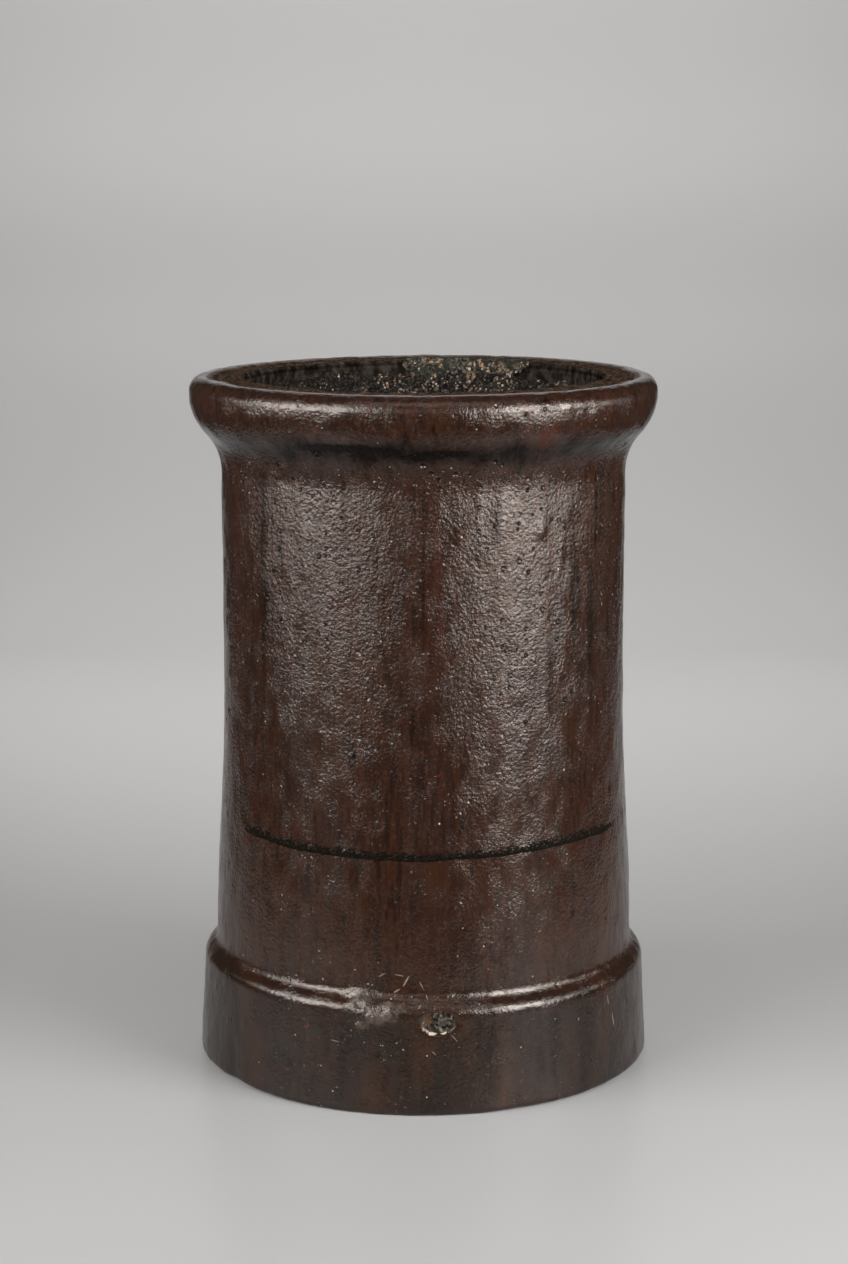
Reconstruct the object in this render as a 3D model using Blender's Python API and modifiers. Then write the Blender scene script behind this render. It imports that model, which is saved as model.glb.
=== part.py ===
# Roll-top chimney pot of salt-glazed stoneware: one open tube, metres, +Z up, foot on z = 0, front towards -Y.

import math

import bpy
from mathutils import Matrix, Vector

# Overall size
POT_HEIGHT = 0.457
BODY_RADIUS = 0.1331
WALL = 0.015

# Rolled rim, measured outwards from the body and down from the top
RIM_OVERHANG = 0.0205
RIM_SIDE_DEPTH = 0.0256
RIM_TOP_FILLET = 0.0150
RIM_UNDER_FILLET = 0.0230
NECK_DEPTH = 0.0478
NECK_FILLET = 0.0200
MOUTH_FILLET = 0.0030

# Base band, measured outwards from the body and up from the foot
BAND_HEIGHT = 0.0705
BAND_OVERHANG = 0.0082
BAND_TAPER = 0.0035
SHOULDER_RISE = 0.0075
SHOULDER_FILLET = 0.0070
LEDGE_FILLET = 0.0060
FOOT_FILLET = 0.0035
FOOT_WIDTH = 0.0250
FOOT_BORE_FILLET = 0.0020

# The body widens towards the base band
FLARE_WIDTH = 0.0065
FLARE_LENGTH = 0.1780

# Chip knocked out of the front of the base band
CHIP_WIDTH = 0.0200
CHIP_HEIGHT = 0.0155
CHIP_DEPTH = 0.0028
CHIP_DROP = 0.0093
CHIP_TURN = math.radians(3.6)

# Fineness of the round stretches
TURN_STEPS = 88
FLARE_STEPS = 7
ARC_TOLERANCE = 0.00015

GLAZE_COLOUR = (0.058, 0.032, 0.022, 1.0)
GLAZE_ROUGHNESS = 0.34


def clear_scene():
    for thing in list(bpy.data.objects):
        bpy.data.objects.remove(thing, do_unlink=True)


def collection(name):
    group = bpy.data.collections.new(name)
    bpy.context.scene.collection.children.link(group)
    return group


def glaze():
    material = bpy.data.materials.new("brown salt glaze")
    material.use_nodes = True
    shader = material.node_tree.nodes["Principled BSDF"]
    shader.inputs["Base Color"].default_value = GLAZE_COLOUR
    shader.inputs["Roughness"].default_value = GLAZE_ROUGHNESS
    shader.inputs["Metallic"].default_value = 0.0
    return material


def body_radius(height):
    """Outer radius of the body at a height between the ledge and the neck, easing in and out of the flare."""
    ledge = BAND_HEIGHT + SHOULDER_RISE
    share = max(1 - (height - ledge) / FLARE_LENGTH, 0.0)
    return BODY_RADIUS + FLARE_WIDTH * share * share * (3 - 2 * share)


def flare_heights(low, high):
    """Heights from low up to where the flare ends, or up to high where the pot is too short for it."""
    end = min(low + FLARE_LENGTH, high)
    return [low + (end - low) * i / FLARE_STEPS for i in range(FLARE_STEPS + 1)]


def pot_corners():
    """Corners of the pot's section as (radius, height, fillet), down the outside and up the bore."""
    ledge = BAND_HEIGHT + SHOULDER_RISE
    neck = POT_HEIGHT - NECK_DEPTH
    rim = BODY_RADIUS + RIM_OVERHANG
    shoulder = body_radius(ledge) + BAND_OVERHANG
    foot = shoulder + BAND_TAPER
    heights = flare_heights(ledge, neck)[1:-1]
    outside = [
        (rim, POT_HEIGHT, RIM_TOP_FILLET),
        (rim, POT_HEIGHT - RIM_SIDE_DEPTH, RIM_UNDER_FILLET),
        (body_radius(neck), neck, NECK_FILLET),
    ]
    outside += [(body_radius(height), height, 0.0) for height in reversed(heights)]
    outside += [
        (body_radius(ledge), ledge, LEDGE_FILLET),
        (shoulder, BAND_HEIGHT, SHOULDER_FILLET),
        (foot, 0.0, FOOT_FILLET),
    ]
    inside = [(foot - FOOT_WIDTH, 0.0, FOOT_BORE_FILLET)]
    inside += [(body_radius(height) - WALL, height, 0.0) for height in heights]
    inside += [(BODY_RADIUS - WALL, POT_HEIGHT, MOUTH_FILLET)]
    return outside + inside


def fillet_arc(corner, before, after, reach):
    """Arc that rounds a corner, touching both of its sides at the same reach from it."""
    to_before = (before - corner).normalized()
    to_after = (after - corner).normalized()
    half_turn = (math.pi - to_before.angle(to_after)) / 2
    radius = reach / math.tan(half_turn)
    centre = corner + (to_before + to_after).normalized() * radius / math.cos(half_turn)
    start = corner + to_before * reach - centre
    sweep = start.angle_signed(corner + to_after * reach - centre)
    step = 2 * math.acos(1 - ARC_TOLERANCE / radius)
    steps = max(2, math.ceil(abs(sweep) / step))
    return [centre + Matrix.Rotation(-sweep * i / steps, 2) @ start for i in range(steps + 1)]


def section(corners):
    """Closed section with its corners rounded; a fillet gives way where a side is too short for it."""
    places = [Vector(corner[:2]) for corner in corners]
    count = len(places)
    reaches = []
    for i, (radius, height, fillet) in enumerate(corners):
        to_before = places[i - 1] - places[i]
        to_after = places[(i + 1) % count] - places[i]
        half_turn = (math.pi - to_before.angle(to_after)) / 2
        reaches.append(fillet * math.tan(half_turn))
    limits = [1.0] * count
    for i in range(count):
        following = (i + 1) % count
        taken = reaches[i] + reaches[following]
        side = (places[following] - places[i]).length
        if taken > side:
            limits[i] = min(limits[i], side / taken)
            limits[following] = min(limits[following], side / taken)
    points = []
    for i, place in enumerate(places):
        reach = reaches[i] * limits[i]
        points += fillet_arc(place, places[i - 1], places[(i + 1) % count], reach) if reach else [place]
    return points


def turned_pot(group):
    """The pot as its section turned about the Z axis."""
    points = section(pot_corners())
    mesh = bpy.data.meshes.new("chimney_pot")
    edges = [(i, (i + 1) % len(points)) for i in range(len(points))]
    mesh.from_pydata([(point.x, 0.0, point.y) for point in points], edges, [])
    pot = bpy.data.objects.new("chimney_pot", mesh)
    group.objects.link(pot)
    pot.data.materials.append(glaze())
    turn = pot.modifiers.new("turn", "SCREW")
    turn.axis = "Z"
    turn.steps = TURN_STEPS
    turn.render_steps = TURN_STEPS
    turn.use_merge_vertices = True
    turn.merge_threshold = 0.00001
    return pot


def chip_cutter(group):
    """Flattened ball standing half its depth proud of the band, so that it leaves a shallow oval dish."""
    shoulder = body_radius(BAND_HEIGHT + SHOULDER_RISE) + BAND_OVERHANG
    height = BAND_HEIGHT - CHIP_DROP
    surface = shoulder + BAND_TAPER * CHIP_DROP / BAND_HEIGHT
    cut_share = math.cos(math.asin(0.5))
    bpy.ops.mesh.primitive_ico_sphere_add(subdivisions=3, radius=1.0)
    cutter = bpy.context.active_object
    cutter.name = "chip cutter"
    size = (CHIP_WIDTH / 2 / cut_share, 2 * CHIP_DEPTH, CHIP_HEIGHT / 2 / cut_share)
    cutter.data.transform(Matrix.Diagonal((*size, 1.0)))
    outwards = Vector((math.sin(CHIP_TURN), -math.cos(CHIP_TURN), 0.0))
    cutter.location = outwards * (surface + CHIP_DEPTH) + Vector((0.0, 0.0, height))
    cutter.rotation_euler.z = CHIP_TURN
    for owner in list(cutter.users_collection):
        owner.objects.unlink(cutter)
    group.objects.link(cutter)
    cutter.hide_render = True
    cutter.display_type = "WIRE"
    return cutter


def main():
    clear_scene()
    pot = turned_pot(collection("chimney pot"))
    chip = pot.modifiers.new("chip", "BOOLEAN")
    chip.operation = "DIFFERENCE"
    chip.solver = "EXACT"
    chip.object = chip_cutter(collection("cutters"))


main()
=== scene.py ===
import math

import bmesh
import bpy
import numpy as np
from mathutils import Matrix, Vector, noise
from mathutils.bvhtree import BVHTree


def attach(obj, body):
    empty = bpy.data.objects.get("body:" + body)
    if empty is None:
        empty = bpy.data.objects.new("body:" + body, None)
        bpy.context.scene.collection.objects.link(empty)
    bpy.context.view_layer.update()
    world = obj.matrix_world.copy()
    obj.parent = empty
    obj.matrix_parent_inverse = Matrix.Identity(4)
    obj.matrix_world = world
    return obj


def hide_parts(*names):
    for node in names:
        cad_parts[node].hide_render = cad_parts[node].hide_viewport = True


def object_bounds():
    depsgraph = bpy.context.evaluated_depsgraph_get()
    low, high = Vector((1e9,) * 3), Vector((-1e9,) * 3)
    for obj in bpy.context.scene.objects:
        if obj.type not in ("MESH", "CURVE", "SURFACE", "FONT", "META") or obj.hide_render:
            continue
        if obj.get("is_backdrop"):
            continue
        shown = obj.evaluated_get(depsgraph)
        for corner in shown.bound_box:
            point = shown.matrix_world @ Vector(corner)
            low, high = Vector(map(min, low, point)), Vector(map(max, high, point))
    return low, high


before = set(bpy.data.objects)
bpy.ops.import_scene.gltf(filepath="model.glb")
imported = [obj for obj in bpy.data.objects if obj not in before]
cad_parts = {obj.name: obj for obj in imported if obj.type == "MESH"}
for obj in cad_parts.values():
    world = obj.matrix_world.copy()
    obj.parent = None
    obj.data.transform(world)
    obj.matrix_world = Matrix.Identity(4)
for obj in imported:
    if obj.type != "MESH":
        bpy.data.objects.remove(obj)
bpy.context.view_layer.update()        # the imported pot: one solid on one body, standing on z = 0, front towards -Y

scene = bpy.context.scene
mm = 0.001


def toLinear(hexColour):
    channels = [int(hexColour[i:i + 2], 16) / 255 for i in (1, 3, 5)]
    return tuple(c / 12.92 if c <= 0.04045 else ((c + 0.055) / 1.055) ** 2.4 for c in channels) + (1.0,)


def addNode(tree, kind, inputs=None, **settings):
    node = tree.nodes.new(kind)
    for name, value in settings.items():
        setattr(node, name, value)
    for key, value in (inputs or {}).items():
        named = [s for s in node.inputs if s.enabled and s.name == key]
        socket = node.inputs[key] if isinstance(key, int) else named[0]
        if isinstance(value, bpy.types.Node):
            value = next(s for s in value.outputs if s.enabled)
        if isinstance(value, bpy.types.NodeSocket):
            tree.links.new(value, socket)
        else:
            socket.default_value = value
    return node


def addPiece(name, mesh, material):
    piece = bpy.data.objects.new(name, mesh)
    scene.collection.objects.link(piece)
    if not mesh.materials:
        mesh.materials.append(material)
    mesh.shade_smooth()
    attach(piece, "root")
    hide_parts("chimney_pot")
    return piece


def newMesh(name, points, faces):
    mesh = bpy.data.meshes.new(name)
    mesh.from_pydata([tuple(p) for p in points], [], [tuple(f) for f in faces])
    mesh.validate()
    return mesh


# camera, lights and the sweep
view = {
    "place": (0.0004, -1.838, 0.6275),
    "pitchDown": 10.58,          # degrees below level
    "lens": 79.75,               # on a 36 mm sensor along the long side of 848 x 1264
}
cameraData = bpy.data.cameras.new("studioCamera")
cameraData.sensor_width = 36.0
cameraData.lens = view["lens"]
cameraData.dof.use_dof = False
camera = bpy.data.objects.new("studioCamera", cameraData)
camera.location = view["place"]
camera.rotation_euler = (math.radians(90 - view["pitchDown"]), 0, 0)
scene.collection.objects.link(camera)
scene.camera = camera

studio = {
    "world": "#cfc6bc", "worldPower": 0.055,
    "sweepDepth": 2.3, "sweepBend": 0.9, "sweepWide": 1.3, "sweepTall": 2.4, "sweepFront": -0.46,
    "sweepDark": "#9d9e9e", "sweepPale": "#a1a1a2", "sweepRoughness": 0.32, "sweepIor": 1.22,
    # name, degrees from the camera's side, distance and width in metres, and the strips of its cloth:
    # bottom, top, brightness
    "boxes": [
        ("boxLeft", -54, 1.15, 1.08,
         [(0.14, 0.24, 0.4), (0.24, 0.42, 1.4), (0.42, 0.78, 12.0), (0.78, 1.2, 5.0)]),
        ("boxRight", 51, 1.15, 0.82,
         [(0.14, 0.24, 2.4), (0.24, 0.42, 8.2), (0.42, 0.78, 19.0), (0.78, 1.2, 3.4)]),
        ("sideLeft", -84, 1.15, 0.7, [(0.42, 0.66, 3.2)]),
        ("sideRight", 86, 1.15, 0.7, [(0.42, 0.66, 3.6)]),
    ],
    # name, y, z, width, depth in metres, degrees tipped towards the back, degrees of spread, brightness
    "behind": [
        ("boxBackdrop", 0.62, 2.15, 2.4, 0.8, 77.0, 110.0, 5.9),
        ("boxBehindFloor", 1.14, 2.4, 2.4, 1.0, 1.0, 52.0, 1.6),
        ("boxAbove", -0.95, 1.75, 1.6, 0.6, 33.0, 180.0, 1.5),
        ("wallInFront", -1.95, 0.9, 1.5, 0.6, 90.0, 180.0, 1.0),
    ],
}
scene.world = scene.world or bpy.data.worlds.new("studioWorld")
scene.world.use_nodes = True
worldLight = scene.world.node_tree.nodes["Background"]
worldLight.inputs["Color"].default_value = toLinear(studio["world"])
worldLight.inputs["Strength"].default_value = studio["worldPower"]
scene.view_settings.view_transform = "Standard"


def addLight(name, place, turned, wide, tall, bright, spread=180.0):
    data = bpy.data.lights.new(name, "AREA")
    data.shape = "RECTANGLE"
    data.size, data.size_y = wide, tall
    data.energy = bright * math.pi * wide * tall
    data.spread = math.radians(spread)
    data.color = (1.0, 0.98, 0.96)
    light = bpy.data.objects.new(name, data)
    light.location = place
    light.rotation_euler = [math.radians(v) for v in turned]
    scene.collection.objects.link(light)


for name, turn, distance, wide, strips in studio["boxes"]:
    side = math.radians(turn)
    for i, (bottom, top, bright) in enumerate(strips):
        place = (distance * math.sin(side), -distance * math.cos(side), (bottom + top) / 2)
        addLight(f"{name}{i}", place, (90, 0, turn), wide, top - bottom, bright)
for name, y, z, wide, deep, tip, spread, bright in studio["behind"]:
    addLight(name, (0, y, z), (tip, 0, 0), wide, deep, bright, spread)

sweepLine = [(studio["sweepFront"], 0.0)]
for i in range(17):
    turn = math.radians(90 * i / 16)
    bend = studio["sweepBend"]
    sweepLine.append((studio["sweepDepth"] - bend + bend * math.sin(turn), bend - bend * math.cos(turn)))
sweepLine.append((studio["sweepDepth"], studio["sweepTall"]))
half = studio["sweepWide"] / 2
sweepPoints = [(s * half, y, z) for y, z in sweepLine for s in (-1, 1)]
sweepFaces = [(2 * i, 2 * i + 1, 2 * i + 3, 2 * i + 2) for i in range(len(sweepLine) - 1)]
sweepMesh = newMesh("studioSweep", sweepPoints, sweepFaces)
sweepMesh.shade_smooth()
sweepPaint = bpy.data.materials.new("matPaperSweep")
sweepPaint.use_nodes = True
tree = sweepPaint.node_tree
shader = tree.nodes["Principled BSDF"]
shader.inputs["Roughness"].default_value = studio["sweepRoughness"]
shader.inputs["IOR"].default_value = studio["sweepIor"]
place = addNode(tree, "ShaderNodeTexCoord").outputs["Object"]
grain = addNode(tree, "ShaderNodeTexNoise", {"Vector": place, "Scale": 900.0, "Detail": 2.0})
paper = {"A": toLinear(studio["sweepDark"]), "B": toLinear(studio["sweepPale"])}
tint = addNode(tree, "ShaderNodeMix", {"Factor": grain, **paper}, data_type="RGBA")
tree.links.new(next(s for s in tint.outputs if s.enabled), shader.inputs["Base Color"])
sweepMesh.materials.append(sweepPaint)
sweep = bpy.data.objects.new("studioSweep", sweepMesh)
scene.collection.objects.link(sweep)
sweep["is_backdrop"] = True
print("studio: camera,", len(bpy.data.lights), "soft lights and the sweep")

# the pot's section
pot = {
    # millimetres, as in the source of the solid, but with the neck's, shoulder's and ledge's fillets tighter
    "height": 457.0, "bodyRadius": 133.1, "wall": 15.0,
    "rimOverhang": 20.5, "rimSide": 25.6, "rimTopFillet": 15.0, "rimUnderFillet": 23.0,
    "neckDepth": 47.8, "neckFillet": 15.5, "mouthFillet": 3.0,
    "bandHeight": 70.5, "bandOverhang": 8.2, "bandTaper": 3.5, "shoulderRise": 7.5,
    "shoulderFillet": 4.0, "ledgeFillet": 3.6, "footFillet": 3.5, "footWidth": 25.0, "footBoreFillet": 2.0,
    "flareWidth": 6.5, "flareLength": 178.0,
    # how finely the looks are meshed
    "columns": 360, "rimStep": 1.35, "rollStep": 2.3, "bodyStep": 2.75, "baseStep": 2.1,
    "mouthStep": 2.2, "boreStep": 16.0, "mouthDepth": 36.0,
}
ledgeHeight = pot["bandHeight"] + pot["shoulderRise"]
flatRadius = 142.0           # the radius at which the wall is laid out flat, between the body's and the rim's


def bodyRadius(height):
    share = max(1 - (height - ledgeHeight) / pot["flareLength"], 0.0)
    return pot["bodyRadius"] + pot["flareWidth"] * share * share * (3 - 2 * share)


def filletArc(corner, before, after, reach):
    toBefore = (before - corner).normalized()
    toAfter = (after - corner).normalized()
    halfTurn = (math.pi - toBefore.angle(toAfter)) / 2
    radius = reach / math.tan(halfTurn)
    centre = corner + (toBefore + toAfter).normalized() * radius / math.cos(halfTurn)
    start = corner + toBefore * reach - centre
    sweepTurn = start.angle_signed(corner + toAfter * reach - centre)
    steps = max(4, math.ceil(abs(sweepTurn) * radius / 2.2))
    return [centre + Matrix.Rotation(-sweepTurn * i / steps, 2) @ start for i in range(steps + 1)]


def rowStep(spot):
    # how far apart the rows of the mesh stand on the outside, in mm
    if spot.y > 452:
        return pot["rimStep"]
    if spot.y > 400:
        return pot["rollStep"]
    return pot["baseStep"] if spot.y < 88 else pot["bodyStep"]


def potSection():
    # from the mouth down the outside, across the foot and up the bore, in millimetres
    rim = pot["bodyRadius"] + pot["rimOverhang"]
    neck = pot["height"] - pot["neckDepth"]
    shoulder = bodyRadius(ledgeHeight) + pot["bandOverhang"]
    foot = shoulder + pot["bandTaper"]
    flare = [ledgeHeight + pot["flareLength"] * i / 8 for i in range(1, 9)]
    corners = [
        (pot["bodyRadius"] - pot["wall"], pot["height"], pot["mouthFillet"]),
        (rim, pot["height"], pot["rimTopFillet"]),
        (rim, pot["height"] - pot["rimSide"], pot["rimUnderFillet"]),
        (bodyRadius(neck), neck, pot["neckFillet"]),
    ]
    corners += [(bodyRadius(h), h, 0) for h in reversed(flare)]
    corners += [
        (bodyRadius(ledgeHeight), ledgeHeight, pot["ledgeFillet"]),
        (shoulder, pot["bandHeight"], pot["shoulderFillet"]),
        (foot, 0, pot["footFillet"]),
        (foot - pot["footWidth"], 0, pot["footBoreFillet"]),
        (bodyRadius(ledgeHeight) - pot["wall"], ledgeHeight, 0),
    ]
    corners += [(bodyRadius(h) - pot["wall"], h, 0) for h in flare]
    count = len(corners)
    reaches = [c[2] for c in corners]
    spots = [Vector(c[:2]) for c in corners]
    for i in range(count):                       # no fillet takes more than its side gives
        side = (spots[(i + 1) % count] - spots[i]).length * 0.999
        both = reaches[i] + reaches[(i + 1) % count]
        if both > side:
            reaches[i] *= side / both
            reaches[(i + 1) % count] *= side / both
    bend = []
    for i in range(count):
        if reaches[i] > 0:
            bend += filletArc(spots[i], spots[i - 1], spots[(i + 1) % count], reaches[i])
        else:
            bend.append(spots[i])
    fine = []
    for i, start in enumerate(bend):
        end = bend[(i + 1) % len(bend)]
        middle = (start + end) / 2
        spans = [(start, end, rowStep(middle))]
        if middle.x < pot["bodyRadius"] - pot["wall"] / 2 and middle.y > 3:
            split = end
            if (end - start).length > 100:       # the long straight bore: fine near the mouth only
                split = start + (end - start) * (1 - pot["mouthDepth"] / (end - start).length)
            spans = [(start, split, pot["boreStep"]), (split, end, pot["mouthStep"])]
        for a, b, step in spans:
            cuts = round((b - a).length / step)
            if (b - a).length > 0.01:
                fine += [a + (b - a) * k / max(1, cuts) for k in range(max(1, cuts))]
    return fine


sectionLine = potSection()
runs = [0.0]
for a, b in zip(sectionLine, sectionLine[1:]):
    runs.append(runs[-1] + (b - a).length)
outerEnd = next(i for i, p in enumerate(sectionLine) if p.y < 0.01)          # where the foot's ring begins
boreStart = next(i for i, p in enumerate(sectionLine) if i > outerEnd and p.y > 3)
# 1 where the mesh is fine enough for the wall's small swellings, 0 down the bore
fineness = [1.0 if i < boreStart else min(max((p.y - 423) / 8, 0.0), 1.0) for i, p in enumerate(sectionLine)]
sectionMesh = newMesh("potSection", [(p.x * mm, 0, p.y * mm) for p in sectionLine], [])
for name, values in (("run", runs), ("fineness", fineness)):
    sectionMesh.attributes.new(name, "FLOAT", "POINT").data.foreach_set("value", values)
sectionGuide = bpy.data.objects.new("potSection", sectionMesh)
scene.collection.objects.link(sectionGuide)
print("section:", len(sectionLine), "points,", 2 * len(sectionLine) * pot["columns"], "triangles")


def runAt(height):
    # how far down the outside, measured along the wall, a height on it is
    outside = [(p.y, r) for p, r in zip(sectionLine[:outerEnd + 1], runs) if r > 6]
    return float(np.interp(height, [h for h, r in reversed(outside)], [r for h, r in reversed(outside)]))


# the turned wall, in Geometry Nodes
wall = {
    "Columns": pot["columns"],
    "Wobble height": 0.6, "Lump size": 15.0, "Lump height": 0.36,
    "Peel size": 7.0, "Peel height": 0.22, "Ripple size": 9.0, "Ripple height": 0.1,
    "Seed": 3.0,
}


def startTree(name, sizes, kinds):
    # an empty tree with a named input for each size and kind, and the identifiers of those inputs
    group = bpy.data.node_groups.new(name, "GeometryNodeTree")
    for way in ("INPUT", "OUTPUT"):
        group.interface.new_socket("Geometry", in_out=way, socket_type="NodeSocketGeometry")
    for key, value in sizes.items():
        kinds[key] = "NodeSocketInt" if isinstance(value, int) else "NodeSocketFloat"
    sockets = {key: group.interface.new_socket(key, in_out="INPUT", socket_type=kind)
               for key, kind in kinds.items()}
    return group, {key: socket.identifier for key, socket in sockets.items()}


wallTree, wallInputs = startTree("turnedWall", wall,
                                 {"Section": "NodeSocketObject", "Glaze": "NodeSocketMaterial"})
given = addNode(wallTree, "NodeGroupInput").outputs
section = addNode(wallTree, "GeometryNodeObjectInfo", {"Object": given["Section"]})
section = section.outputs["Geometry"]
rows = addNode(wallTree, "GeometryNodeAttributeDomainSize", {"Geometry": section})
rows = rows.outputs["Point Count"]
rowsClosed = addNode(wallTree, "ShaderNodeMath", {0: rows, 1: 1.0}, operation="ADD")
columnsClosed = addNode(wallTree, "ShaderNodeMath", {0: given["Columns"], 1: 1.0}, operation="ADD")
grid = addNode(wallTree, "GeometryNodeMeshGrid", {"Vertices X": columnsClosed, "Vertices Y": rowsClosed})
index = addNode(wallTree, "GeometryNodeInputIndex")
row = addNode(wallTree, "ShaderNodeMath", {0: index, 1: rowsClosed}, operation="MODULO")
rowLooped = addNode(wallTree, "ShaderNodeMath", {0: row, 1: rows}, operation="MODULO")
columnExact = addNode(wallTree, "ShaderNodeMath", {0: index, 1: rowsClosed}, operation="DIVIDE")
column = addNode(wallTree, "ShaderNodeMath", {0: columnExact}, operation="FLOOR")
share = addNode(wallTree, "ShaderNodeMath", {0: column, 1: given["Columns"]}, operation="DIVIDE")
turn = addNode(wallTree, "ShaderNodeMath", {0: share, 1: -2 * math.pi}, operation="MULTIPLY")
spot = addNode(wallTree, "GeometryNodeInputPosition")
sectionSpot = addNode(wallTree, "GeometryNodeSampleIndex",
                      {"Geometry": section, "Value": spot, "Index": rowLooped}, data_type="FLOAT_VECTOR")
turned = addNode(wallTree, "ShaderNodeVectorRotate", {"Vector": sectionSpot, "Angle": turn},
                 rotation_type="Z_AXIS")
standing = addNode(wallTree, "GeometryNodeSetPosition", {"Geometry": grid, "Position": turned})
for name in ("run", "fineness"):
    asked = addNode(wallTree, "GeometryNodeInputNamedAttribute", {"Name": name}, data_type="FLOAT")
    sampled = addNode(wallTree, "GeometryNodeSampleIndex",
                      {"Geometry": section, "Value": asked, "Index": rowLooped}, data_type="FLOAT")
    standing = addNode(wallTree, "GeometryNodeStoreNamedAttribute",
                       {"Geometry": standing, "Name": name, "Value": sampled},
                       data_type="FLOAT", domain="POINT")
closed = addNode(wallTree, "GeometryNodeMergeByDistance", {"Geometry": standing, "Distance": 0.01 * mm})

# every swelling of the wall is summed in millimetres, then pushed along the wall's own normal
here = addNode(wallTree, "GeometryNodeInputPosition")
fineHere = addNode(wallTree, "GeometryNodeInputNamedAttribute", {"Name": "fineness"}, data_type="FLOAT")
seedShift = addNode(wallTree, "ShaderNodeCombineXYZ", {axis: given["Seed"] for axis in "XYZ"})
swelling = None
for sizeName, heightName, stretch in (
        ("Lump size", "Lump height", 1.6), ("Peel size", "Peel height", 1.25),
        ("Ripple size", "Ripple height", 14.0), (None, "Wobble height", 1.0)):
    drawn = addNode(wallTree, "ShaderNodeVectorMath", {0: here, 1: (1, 1, 1 / stretch)}, operation="MULTIPLY")
    moved = addNode(wallTree, "ShaderNodeVectorMath", {0: drawn, 1: seedShift}, operation="ADD")
    scale = 5.0                                       # the slow wobble: about 200 mm from swell to swell
    if sizeName:
        scale = addNode(wallTree, "ShaderNodeMath", {0: 1000.0, 1: given[sizeName]}, operation="DIVIDE")
    wave = addNode(wallTree, "ShaderNodeTexNoise", {"Vector": moved, "Scale": scale, "Detail": 1.0})
    centred = addNode(wallTree, "ShaderNodeMath", {0: wave, 1: 0.5}, operation="SUBTRACT")
    doubled = addNode(wallTree, "ShaderNodeMath", {0: centred, 1: 3.0}, operation="MULTIPLY")
    part = addNode(wallTree, "ShaderNodeMath", {0: doubled, 1: given[heightName]}, operation="MULTIPLY")
    if sizeName:
        part = addNode(wallTree, "ShaderNodeMath", {0: part, 1: fineHere}, operation="MULTIPLY")
    if swelling:
        part = addNode(wallTree, "ShaderNodeMath", {0: swelling, 1: part}, operation="ADD")
    swelling = part
metres = addNode(wallTree, "ShaderNodeMath", {0: swelling, 1: mm}, operation="MULTIPLY")
outward = addNode(wallTree, "GeometryNodeInputNormal")
push = addNode(wallTree, "ShaderNodeVectorMath", {0: outward, "Scale": metres}, operation="SCALE")
swollen = addNode(wallTree, "GeometryNodeSetPosition", {"Geometry": closed, "Offset": push})
real = addNode(wallTree, "GeometryNodeRealizeInstances", {"Geometry": swollen})
painted = addNode(wallTree, "GeometryNodeSetMaterial", {"Geometry": real, "Material": given["Glaze"]})
addNode(wallTree, "NodeGroupOutput", {"Geometry": painted})


def meshFromTree(name, group, start, settings):
    # the tree's result as plain mesh data; the carrier and its modifier are gone afterwards
    carrier = bpy.data.objects.new(name + "Carrier", start)
    scene.collection.objects.link(carrier)
    growing = carrier.modifiers.new(group.name, "NODES")
    growing.node_group = group
    for identifier, value in settings.items():
        growing[identifier] = value
    mesh = bpy.data.meshes.new_from_object(carrier.evaluated_get(bpy.context.evaluated_depsgraph_get()))
    mesh.name = name
    if mesh.materials[0] is None:                     # the primitive's own empty slot
        mesh.materials.pop(index=0)
    bpy.data.objects.remove(carrier)
    return mesh


glaze = bpy.data.materials.new("matSaltGlazedStoneware")
settings = {wallInputs[name]: value for name, value in wall.items()}
settings[wallInputs["Section"]] = sectionGuide
settings[wallInputs["Glaze"]] = glaze
wallMesh = meshFromTree("potGlazed", wallTree, bpy.data.meshes.new("potStart"), settings)
bpy.data.objects.remove(sectionGuide)
print("wall:", len(wallMesh.vertices), "points,", len(wallMesh.polygons), "faces")

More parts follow.
